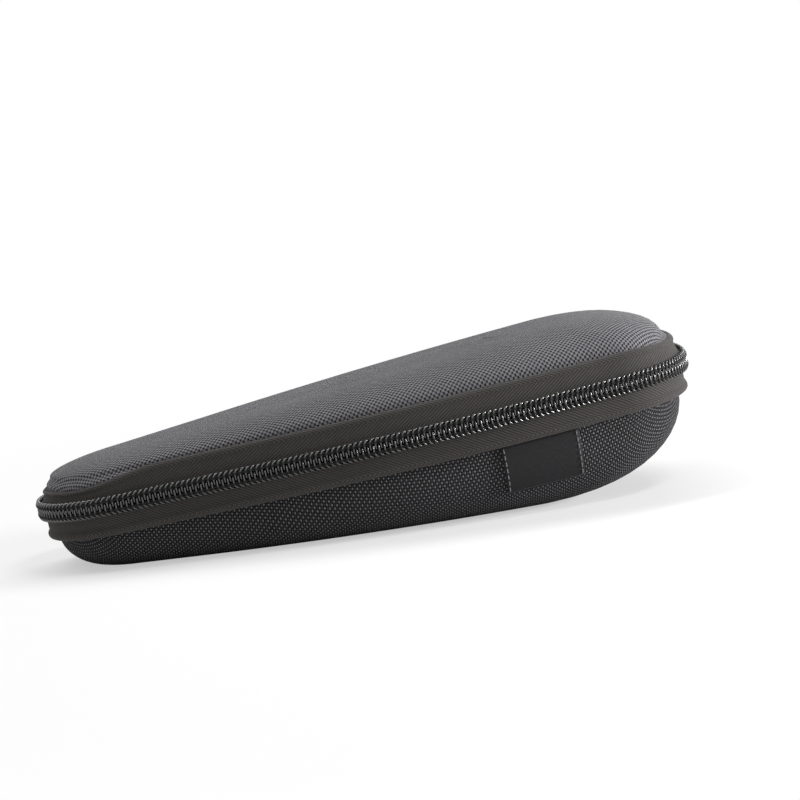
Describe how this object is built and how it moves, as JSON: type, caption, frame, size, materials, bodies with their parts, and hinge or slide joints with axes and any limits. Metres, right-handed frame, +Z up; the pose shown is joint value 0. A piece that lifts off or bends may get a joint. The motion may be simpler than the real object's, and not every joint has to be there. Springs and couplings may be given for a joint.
{
  "type": "electric shaver hard case",
  "caption": "Zipped hard case for an electric shaver: two moulded fabric shells, a coil zip all round, a fabric hinge, a slider with its pull and a bare label.",
  "frame": {"origin": "on the floor, under the middle of the closed case's bounding box", "axes": "+Z up, +X along the case towards its wide end, +Y towards the hinge side, the zip's long open side faces -Y"},
  "size_m": [0.1944, 0.0809, 0.0514],
  "materials": {
    "woven_nylon_lid": "coarse woven nylon, slightly glossy yarns",
    "woven_nylon_base": "coarse woven nylon, matt",
    "moulded_foam": "moulded closed-cell foam",
    "knitted_lining": "brushed knitted lining",
    "binding_tape": "woven binding tape",
    "zip_tape": "herringbone woven polyester tape",
    "hinge_fabric": "ribbed woven webbing",
    "core_cord": "matt spun cord",
    "sewing_thread": "twisted polyester thread",
    "zip_coil": "glossy nylon monofilament",
    "stop_plastic": "moulded stop",
    "slider_metal": "black lacquered zinc casting",
    "pull_metal": "black lacquered zinc casting",
    "label_fabric": "black ribbed satin",
    "label_thread": "pale grey sewing thread"
  },
  "bodies": {
    "base": {"base_coil": "zip_coil", "base_coil_core": "core_cord", "base_coil_thread": "sewing_thread", "base_cover": "woven_nylon_base", "base_hinge_strip": "hinge_fabric", "base_lining": "knitted_lining", "base_rim_binding": "binding_tape", "base_shell": "moulded_foam", "base_zipper_tape": "zip_tape", "joined_tape_ends": "zip_tape", "joined_coil_ends": "zip_coil", "zipper_stops": "stop_plastic", "label": "label_fabric", "label_stitching": "label_thread"},
    "lid": {"lid_coil": "zip_coil", "lid_coil_core": "core_cord", "lid_coil_thread": "sewing_thread", "lid_cover": "woven_nylon_lid", "lid_hinge_strip": "hinge_fabric", "lid_lining": "knitted_lining", "lid_rim_binding": "binding_tape", "lid_shell": "moulded_foam", "lid_zipper_tape": "zip_tape"},
    "slider": {"slider_body": "slider_metal"},
    "pull": {"pull_tab": "pull_metal"}
  },
  "joints": [
    {"name": "lid_hinge", "type": "hinge", "parent": "base", "child": "lid", "pos_m": [0.00695, 0.03866, 0.02767], "axis": [-0.993, -0.0687, -0.0956], "range_deg": [0, 95]},
    {"name": "slider_travel", "type": "slide", "parent": "base", "child": "slider", "axis": [-0.9771, -0.1908, -0.0941], "range_m": [0, 0.04]},
    {"name": "pull_swing", "type": "hinge", "parent": "slider", "child": "pull", "pos_m": [-0.03104, 0.03687, 0.02402], "axis": [0.0958, 0, -0.9954], "range_deg": [0, 120]}
  ]
}
